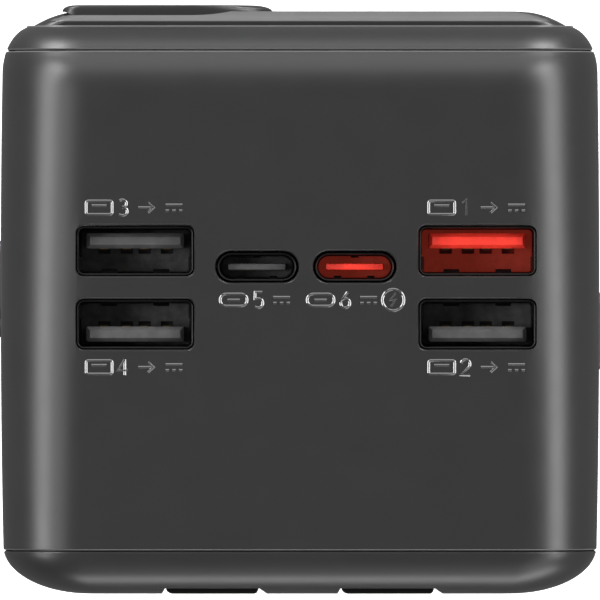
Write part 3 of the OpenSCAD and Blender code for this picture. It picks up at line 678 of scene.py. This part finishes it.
def cap_outline(x0, x1, z0, z1, inset_x, inset_z):
    """Blunt at its -X end, half an ellipse at its +X end."""
    half = (z1 - z0) / 2 - inset_z
    middle = (z0 + z1) / 2
    r = CAP_BLUNT_R
    left = x0 + inset_x
    tip = x1 - CAP_TAPER
    points = [(tip + (CAP_TAPER - 1.6 * inset_x) * math.cos(a), middle + half * math.sin(a))
              for a in [math.pi * (i / 24 - 0.5) for i in range(25)]]
    points += [(left + r + r * math.cos(a), middle + half - r + r * math.sin(a))
               for a in [math.pi * (0.5 + i / 16) for i in range(9)]]
    points += [(left + r + r * math.cos(a), middle - half + r + r * math.sin(a))
               for a in [math.pi * (1 + i / 16) for i in range(9)]]
    return points


def fuse_cap():
    lo, hi = mm_box("fuse_carrier")
    fuse_lo, fuse_hi = mm_box("fuse_end_caps")
    fuse = (fuse_lo + fuse_hi) / 2
    across, up = CAP_ROUND
    bend = PLATFORM_Z[1] - PLATFORM_END
    foot = cap_outline(lo.x, hi.x, lo.z, hi.z, 0, 0)
    rings = [[(u, Y_PLATFORM - 0.01 - CAP_SKIRT * max(0.0, v - bend), v) for u, v in foot]]
    for a in [i * math.pi / 16 for i in range(9)]:
        share = 1 - math.cos(a)
        top = cap_outline(lo.x, hi.x, lo.z, hi.z, across * share, CAP_EDGE * share)
        rings.append([(u, hi.y - up + up * math.sin(a), v) for u, v in top])
    cap = make_object("fuse_cap", *loft(rings))
    cradle = prism("cradle", "y", (fuse.x, fuse.z), CRADLE, CRADLE_R,
                   [(lo.y, -0.15), (lo.y + 0.15, 0), (Y_PLATFORM + 0.1, 0)])
    boolean(cap, [cradle], "UNION")
    bed = prism("bed", "x", (fuse.y, fuse.z), (FUSE_BED_D, FUSE_BED_D), FUSE_BED_D / 2,
                [(fuse_lo.x - 1, 0), (fuse_hi.x + 1, 0)], arc=12)
    boolean(cap, [bed])
    finish_piece(cap, "fuse_drawer", MAT["casing"], ["fuse_carrier"])


KNOB_RIBS = 5
KNOB_PITCH = 1.4
KNOB_R = 1.6
KNOB_T = 1.4                        # thickness of the cap
RIB_W = 0.7
RIB_SHORT = 2.4                     # a rib is this much shorter than the cap is wide
RIB_H = 0.3
STEM_SHORT = 4
STEM_H = 2.6


def knob(node, side):
    """Thumb knob: a rounded cap with raised ribs across its travel, and the stem that enters its carriage."""
    lo, hi = mm_box(node)
    centre = ((lo.y + hi.y) / 2, (lo.z + hi.z) / 2)
    size = (hi.y - lo.y, hi.z - lo.z)
    top = hi.x if side > 0 else lo.x
    root = lo.x if side > 0 else hi.x
    face = top - side * RIB_H
    under = top - side * KNOB_T
    # the face is slightly dished
    cap = [(under, 0), (face - side * 0.45, 0), (face - side * 0.13, -0.13), (face, -0.45),
           (face - side * 0.12, -1.1)]
    stem = [(root, -0.1), (root + side * 0.2, 0), (under, 0)]
    rib = [(face - side * 0.3, 0), (top - side * 0.14, 0), (top - side * 0.04, -0.1), (top, -0.22)]
    parts = [prism("cap", "x", centre, size, KNOB_R, cap),
             prism("stem", "x", centre, (size[0] - STEM_SHORT, STEM_H), 0.2, stem)]
    for i in range(KNOB_RIBS):
        y = centre[0] + (i - (KNOB_RIBS - 1) / 2) * KNOB_PITCH
        parts.append(prism("rib", "x", (y, centre[1]), (RIB_W, size[1] - RIB_SHORT), 0.3, rib))
    first = parts.pop(0)
    first.name = node + "_cap"
    boolean(first, parts, "UNION")
    finish_piece(first, node, MAT["knob"], [node])


# ---------- ports ----------
PORT_SIDES = (1, -1, 1, -1)         # which way each USB-A tongue lies from the port's middle
TONGUE_A = (10.9, 1.68)
TONGUE_OFFSET = 1.1
CONTACTS_A = (-3.5, -1.0, 1.0, 3.5)
LEAVES_A = (-2.9, 2.9)
SHELL_WALL = 0.3
BASE_A = 2.4                        # thickness of the plastic base behind a USB-A tongue
BASE_C = 2.0
TONGUE_C = (6.5, 0.74)
PINS_C = 12
LONG_PINS_C = (0, 3, 8, 11)
PIN_PITCH = 0.5
INSERT_GAP = 0.04                   # the plastic inserts are this much smaller than their CAD nodes
# spring leaves: width, distance of the lower and upper end from the mouth, bulge
LEAF_A = (1.75, 6.5, 2.2, 0.45)
SIDE_LEAF_A = (1.45, 6.0, 2.6, 0.32)
LEAF_C = (0.85, 3.6, 1.5, 0.34)
TOP_LEAF_C = (0.85, 3.6, 1.5, 0.3)
LEAVES_C = (-1.9, 1.8)
RED_A = 3                           # the fast ports, which are red inside
RED_C = 2


def port_shell(name, centre, size, radius, z0, z1):
    """Thin metal can with a rolled front edge and a closed back."""
    w = SHELL_WALL
    levels = [(z0, 0), (z1 - 0.25, 0), (z1 - 0.08, -0.04), (z1, -0.12), (z1 - 0.03, -0.21),
              (z1 - 0.14, -w + 0.02), (z1 - 0.3, -w), (z0 + 0.4, -w)]
    return prism(name, "z", centre, size, radius, levels, arc=10)


def leaf(axis, wall, direction, middle, mouth, shape):
    """Spring leaf pressed inwards from a wall. axis is the one along the wall, x or y."""
    width, low, high, bulge = shape
    z0, z1 = mouth - low, mouth - high
    steps = [i / 8 for i in range(9)]
    inner = [(bulge * math.sin(math.pi * t) ** 0.8, z0 + (z1 - z0) * t) for t in steps]
    outline = [(-0.1, z0)] + inner + [(-0.1, z1)]
    rings = []
    for along in (middle - width / 2, middle + width / 2):
        ring = [(along, wall + direction * d, z) for d, z in outline]
        rings.append(ring if axis == "x" else [(y, x, z) for x, y, z in ring])
    return make_object("leaf", *loft(rings))


def insert_floor(obj, z, mat):
    """Gives the upper face of an insert's base its own matt material, lighter than the rest of the insert:
    painted light on the port's floor.
    """
    obj.data.materials.append(mat)
    for face in obj.data.polygons:
        if abs(face.center.z / MM - z) < 0.1:
            face.material_index = 1


def finish_insert(block, base_top, is_red, node):
    finish_piece(block, "casing", MAT["red" if is_red else "tongue"], [node])
    # the floor of the insert's base gets a lighter material than the insert, with a glow on the red port:
    # painted light
    insert_floor(block, base_top, MAT["red_floor_painted_glow" if is_red else "grey_floor_painted_light"])


def usb_a(number, side):
    shell_node, tongue_node = "usb_a_shell_%d" % number, "usb_a_tongue_%d" % number
    lo, hi = mm_box(shell_node)
    c = (lo + hi) / 2
    size = (hi.x - lo.x, hi.y - lo.y)
    parts = [port_shell("shell", (c.x, c.y), size, CAN_R_A, lo.z, hi.z)]
    wall_y = c.y - side * (size[1] / 2 - SHELL_WALL)
    for x in LEAVES_A:
        parts.append(leaf("x", wall_y, side, c.x + x, hi.z, LEAF_A))
    for turn in (-1, 1):
        wall_x = c.x + turn * (size[0] / 2 - SHELL_WALL)
        parts.append(leaf("y", wall_x, -turn, c.y - side * 1.4, hi.z, SIDE_LEAF_A))
    can = join("usb_a_can_%d" % number, parts)
    finish_piece(can, "casing", MAT["port"], [shell_node])

    lo, hi = mm_box(tongue_node)
    base_top = lo.z + BASE_A
    y = c.y + side * TONGUE_OFFSET
    base = (hi.x - lo.x - INSERT_GAP, hi.y - lo.y - INSERT_GAP)
    block = prism("usb_a_insert_%d" % number, "z", (c.x, c.y), base, 0.5,
                  [(lo.z, 0), (base_top - 0.15, 0), (base_top, -0.15)])
    plate = prism("plate", "z", (c.x, y), TONGUE_A, 0.2,
                  [(lo.z + 1.5, 0), (hi.z - 0.42, 0), (hi.z - 0.1, -0.3), (hi.z, -0.42)])
    boolean(block, [plate], "UNION")
    edge = y - side * TONGUE_A[1] / 2
    boolean(block, [prism("slot", "z", (c.x + x, edge - side * 0.3), (1.4, 0.56), 0.05,
                          [(base_top - 1.4, 0), (base_top + 0.5, 0)]) for x in CONTACTS_A])
    finish_insert(block, base_top, number == RED_A, tongue_node)
    strips = [prism("strip", "z", (c.x + x, edge - side * 0.04), (1.0, 0.16), 0.04,
                    [(base_top - 1.2, 0), (hi.z - 1.9, 0), (hi.z - 1.6, -0.05)]) for x in CONTACTS_A]
    finish_piece(join("usb_a_contacts_%d" % number, strips), "casing", MAT["gold"])


def usb_c(number):
    shell_node, tongue_node = "usb_c_shell_%d" % number, "usb_c_tongue_%d" % number
    lo, hi = mm_box(shell_node)
    c = (lo + hi) / 2
    size = (hi.x - lo.x, hi.y - lo.y)
    parts = [port_shell("shell", (c.x, c.y), size, size[1] / 2, lo.z, hi.z)]
    floor_y = c.y - size[1] / 2 + SHELL_WALL
    for x in LEAVES_C:
        parts.append(leaf("x", floor_y, 1, c.x + x, hi.z, LEAF_C))
    parts.append(leaf("x", c.y + size[1] / 2 - SHELL_WALL, -1, c.x, hi.z, TOP_LEAF_C))
    can = join("usb_c_can_%d" % number, parts)
    finish_piece(can, "casing", MAT["port"], [shell_node])

    lo, hi = mm_box(tongue_node)
    base_top = lo.z + BASE_C
    base = (hi.x - lo.x - INSERT_GAP, hi.y - lo.y - INSERT_GAP)
    block = prism("usb_c_insert_%d" % number, "z", (c.x, c.y), base, base[1] / 2,
                  [(lo.z, 0), (base_top - 0.15, 0), (base_top, -0.15)], arc=10)
    plate = prism("plate", "z", (c.x, c.y), TONGUE_C, 0.2,
                  [(lo.z + 1, 0), (hi.z - 0.16, 0), (hi.z - 0.04, -0.07), (hi.z, -0.16)])
    boolean(block, [plate], "UNION")
    finish_insert(block, base_top, number == RED_C, tongue_node)
    pins = []
    for i in range(PINS_C):
        x = c.x + (i - (PINS_C - 1) / 2) * PIN_PITCH
        for turn in (-1, 1):
            tip = hi.z - (0.35 if i in LONG_PINS_C else 0.6)
            pins.append(prism("pin", "z", (x, c.y + turn * TONGUE_C[1] / 2), (0.26, 0.12), 0.03,
                              [(base_top - 0.3, 0), (tip - 0.1, 0), (tip, -0.04)], arc=3))
    finish_piece(join("usb_c_contacts_%d" % number, pins), "casing", MAT["gold"])


# ---------- raised marks: port pictograms, numbers, arrows and the direct-current sign ----------
STROKE = 0.3
MARK_H = 1.75
MARK_OFFSET_A = 4.8                 # from the middle of a port to the middle of its marks
MARK_OFFSET_C = 3.7
PORT_NUMBERS_A = (3, 4, 1, 2)
PORT_NUMBERS_C = (5, 6)
MARK_SHIFT_C = (-0.15, -1.35)       # sideways shift of the marks under each USB-C port
BOLT_OFFSET = 5.64                  # from the middle of the last marks to the round one


def arc(cx, cy, rx, ry, start, end, steps=10):
    return [(cx + rx * math.cos(a), cy + ry * math.sin(a))
            for a in [math.radians(start + (end - start) * i / steps) for i in range(steps + 1)]]


# strokes of the numbers, for a height of 1
DIGITS = {
    1: [[(-0.2, 0.76), (0.05, 1.0), (0.05, 0.0)]],
    2: [arc(0, 0.7, 0.29, 0.29, 165, -35) + [(-0.29, 0.0), (0.3, 0.0)]],
    3: [arc(-0.04, 0.76, 0.27, 0.24, 130, -90) + arc(-0.04, 0.26, 0.32, 0.26, 90, -135)],
    4: [[(0.12, 0.0), (0.12, 1.0)], [(0.12, 1.0), (-0.32, 0.3), (0.34, 0.3)]],
    5: [[(0.26, 1.0), (-0.2, 1.0), (-0.22, 0.58)] + arc(-0.02, 0.3, 0.31, 0.3, 105, -135)],
    6: [[(0.14, 1.0), (-0.18, 0.55)] + arc(0, 0.3, 0.29, 0.3, 150, -190, 18)],
}


def number_mark(n):
    return [([(x * MARK_H, (y - 0.5) * MARK_H) for x, y in path], False) for path in DIGITS[n]]


def socket_mark(w, h, r, bar, bar_y):
    """Outline of a port with its tongue."""
    return [(rounded_outline(w, h, r, arc=6), True), ([(-bar, bar_y), (bar, bar_y)], False)]


def arrow_mark():
    return [([(-0.85, 0), (0.85, 0)], False), ([(0.25, 0.55), (0.85, 0), (0.25, -0.55)], False)]


def direct_current_mark():
    dashes = [([(x - 0.2, -0.35), (x + 0.2, -0.35)], False) for x in (-0.75, 0, 0.75)]
    return [([(-0.95, 0.3), (0.95, 0.3)], False)] + dashes


def bolt_mark():
    ring = arc(0, 0, 1.2, 1.2, 0, 345, 23)
    return [(ring, True), ([(0.3, 0.78), (-0.32, -0.02), (0.3, 0.04), (-0.26, -0.76)], False)]


def stroke(points, closed):
    """Raised line with bevelled sides on the port face."""
    low, top = Z_FACE - 0.03, Z_FACE + FACE_DROP - 0.005
    foot = Z_FACE + 0.005
    profile = [(-0.5, low), (-0.5, foot), (-0.15, top), (0.15, top), (0.5, foot), (0.5, low)]
    count = len(points)
    rings = []
    for i, (x, y) in enumerate(points):
        here = Vector((x, y))
        before = here - Vector(points[i - 1]) if closed or i else None
        after = Vector(points[(i + 1) % count]) - here if closed or i < count - 1 else None
        a = (before or after).normalized()
        b = (after or before).normalized()
        t = (a + b).normalized() if (a + b).length > 1e-6 else a
        normal = Vector((-t.y, t.x)) / max(0.62, t.dot(a))
        rings.append([(x + normal.x * STROKE * u, y + normal.y * STROKE * u, z) for u, z in profile])
    return make_object("stroke", *loft(rings, closed))


def marks():
    parts = []

    def place(strokes, x, y):
        for points, closed in strokes:
            parts.append(stroke([(x + u, y + v) for u, v in points], closed))

    for node, side, number in zip(PORTS_A, PORT_SIDES, PORT_NUMBERS_A):
        c = port_place(node)[0]
        y = c.y + side * MARK_OFFSET_A
        place(socket_mark(2.9, 1.5, 0.25, 0.85, 0.22), c.x - 4.0, y)
        place(number_mark(number), c.x - 1.35, y)
        place(arrow_mark(), c.x + 1.2, y)
        place(direct_current_mark(), c.x + 4.35, y)
    for node, number, shift in zip(PORTS_C, PORT_NUMBERS_C, MARK_SHIFT_C):
        c = port_place(node)[0]
        x, y = c.x + shift, c.y - MARK_OFFSET_C
        place(socket_mark(3.0, 1.35, 0.67, 0.7, 0), x - 2.45, y)
        place(number_mark(number), x + 0.3, y)
        place(direct_current_mark(), x + 2.9, y)
    place(bolt_mark(), x + BOLT_OFFSET, y)
    finish_piece(join("port_marks", parts), "casing", MAT["mark"])


middle_shell()
plug_cover()
socket_cover()
pads()
fuse_cap()
for knob_node, knob_side in SLIDERS:
    knob(knob_node, knob_side)
for port_number, port_side in enumerate(PORT_SIDES, 1):
    usb_a(port_number, port_side)
for port_number in (1, 2):
    usb_c(port_number)
marks()

# ---------- plain CAD nodes keep their shape and get their material ----------
NODE_MATERIALS = {
    "casing_plastic": "casing", "knob_plastic": "knob", "black_plastic": "black", "frame_plastic": "frame",
    "pad_rubber": "pad", "screw_steel": "screw", "spring_steel": "spring", "pin_metal": "pin",
    "contact_brass": "brass", "fuse_ceramic": "ceramic", "light_pipe_clear": "pipe", "led_red": "led",
    "board_green": "board", "transformer_tape": "tape", "capacitor_sleeve": "sleeve",
    "port_black_metal": "port", "tongue_black": "tongue", "tongue_red": "red",
}
for part in frame["record"]["subparts"]:
    mesh = frame["nodes"][part["node"]].data
    mesh.materials.clear()
    mesh.materials.append(MAT[NODE_MATERIALS[part["material_slot"]]])

# the springs behind the shutter shorten towards their fixed end as it opens
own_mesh(frame["nodes"]["shutter_springs"])


# ---------- floor, light and camera ----------
FLOOR_HALF = 30000
FLOOR_GLOW = 0.75
FLOOR_DIM = 0.15                    # the object sees a darker floor and sky than the camera does
SKY_GLOW = 0.97
SKY_DIM = 0.2
REACH = 0.9                         # distance of the softboxes, in metres


def camera_ray_mix(tree, kind, plain, seen):
    """Shader that is one thing to the camera and another to everything else, for the stage only."""
    path = tree.nodes.new("ShaderNodeLightPath")
    mix = tree.nodes.new("ShaderNodeMixShader")
    tree.links.new(path.outputs["Is Camera Ray"], mix.inputs["Fac"])
    tree.links.new(plain, mix.inputs[1])
    tree.links.new(seen, mix.inputs[2])
    tree.links.new(mix.outputs["Shader"], tree.nodes[kind].inputs["Surface"])


def stage_floor():
    h = FLOOR_HALF
    floor = make_object("floor", [(-h, -h, 0), (h, -h, 0), (h, h, 0), (-h, h, 0)], [(0, 1, 2, 3)])
    mat, tree, shader = new_material("floor_white")
    noise = add_node(tree, "ShaderNodeTexNoise", Scale=3.0)
    ramp = tree.nodes.new("ShaderNodeValToRGB")
    ramp.color_ramp.elements[0].color = (0.9, 0.9, 0.9, 1)
    ramp.color_ramp.elements[1].color = (0.93, 0.93, 0.93, 1)
    tree.links.new(noise.outputs["Fac"], ramp.inputs["Fac"])
    tree.links.new(ramp.outputs["Color"], shader.inputs["Base Color"])
    shader.inputs["Roughness"].default_value = 0.9
    shader.inputs["Specular IOR Level"].default_value = 0.0
    shader.inputs["Emission Color"].default_value = (1, 1, 1, 1)
    shader.inputs["Emission Strength"].default_value = FLOOR_GLOW
    dim = add_node(tree, "ShaderNodeBsdfDiffuse", Color=(FLOOR_DIM, FLOOR_DIM, FLOOR_DIM, 1))
    camera_ray_mix(tree, "Material Output", dim.outputs["BSDF"], shader.outputs["BSDF"])
    floor.data.materials.append(mat)


def sky():
    world = bpy.data.worlds.new("studio")
    world.use_nodes = True
    tree = world.node_tree
    dim = tree.nodes["Background"]
    dim.inputs["Color"].default_value = (1, 1, 1, 1)
    dim.inputs["Strength"].default_value = SKY_DIM
    pale = add_node(tree, "ShaderNodeBackground", Color=(1, 1, 1, 1), Strength=SKY_GLOW)
    camera_ray_mix(tree, "World Output", dim.outputs["Background"], pale.outputs["Background"])
    bpy.context.scene.world = world


# name, azimuth from +X, tilt from the vertical, size in metres, radiance
SOFTBOXES = [
    ("left_softbox", 172, 59, (1.1, 0.32), 8.6),
    ("right_softbox", 8, 59, (1.1, 0.32), 8.6),
    ("left_corner_softbox", 139, 57, (0.25, 0.25), 10.0),
    ("right_corner_softbox", 41, 57, (0.25, 0.25), 9.0),
    ("left_rim_softbox", 118, 95, (0.3, 0.4), 24.0),
    ("right_rim_softbox", 62, 95, (0.3, 0.4), 22.0),
    ("plug_side_softbox", 90, 55, (0.9, 0.6), 1.8),
    ("plug_face_softbox", 90, 97, (1.2, 0.4), 2.6),
    ("socket_side_softbox", -74, 92, (0.9, 0.5), 6.0),
    ("socket_front_softbox", -60, 62, (0.8, 0.5), 1.5),
    ("port_softbox", 180, 34, (0.25, 0.25), 4.0),
]


def softbox(name, azimuth, tilt, size, radiance):
    """Rectangular light with its first side level, placed by azimuth and tilt from the vertical."""
    data = bpy.data.lights.new(name, "AREA")
    data.shape = "RECTANGLE"
    data.size, data.size_y = size
    data.energy = radiance * math.pi * size[0] * size[1]
    lamp = bpy.data.objects.new(name, data)
    middle = Vector((0, 0, LENGTH * MM))
    a, t = math.radians(azimuth), math.radians(tilt)
    towards = Vector((math.sin(t) * math.cos(a), math.sin(t) * math.sin(a), math.cos(t)))
    lamp.location = middle + REACH * towards
    lamp.rotation_euler = (middle - lamp.location).to_track_quat("-Z", "Y").to_euler()
    lamp.visible_camera = False
    bpy.context.scene.collection.objects.link(lamp)


def studio():
    sky()
    for box in SOFTBOXES:
        softbox(*box)
    view = bpy.context.scene.view_settings
    view.view_transform = "Standard"
    view.look = "None"


VIEW_WIDTH = 66.9                   # what the picture spans at the port face
LENS = 1500
SENSOR = 36
CAMERA_Y = -0.1


def camera():
    """Looks straight down on the port face, with +Y up the picture."""
    data = bpy.data.cameras.new("camera")
    data.sensor_width = SENSOR
    data.lens = LENS
    data.clip_end = 60
    cam = bpy.data.objects.new("camera", data)
    cam.location = (0, CAMERA_Y * MM, (Z_FACE + VIEW_WIDTH * LENS / SENSOR) * MM)
    bpy.context.scene.collection.objects.link(cam)
    bpy.context.scene.camera = cam


stage_floor()
studio()
camera()
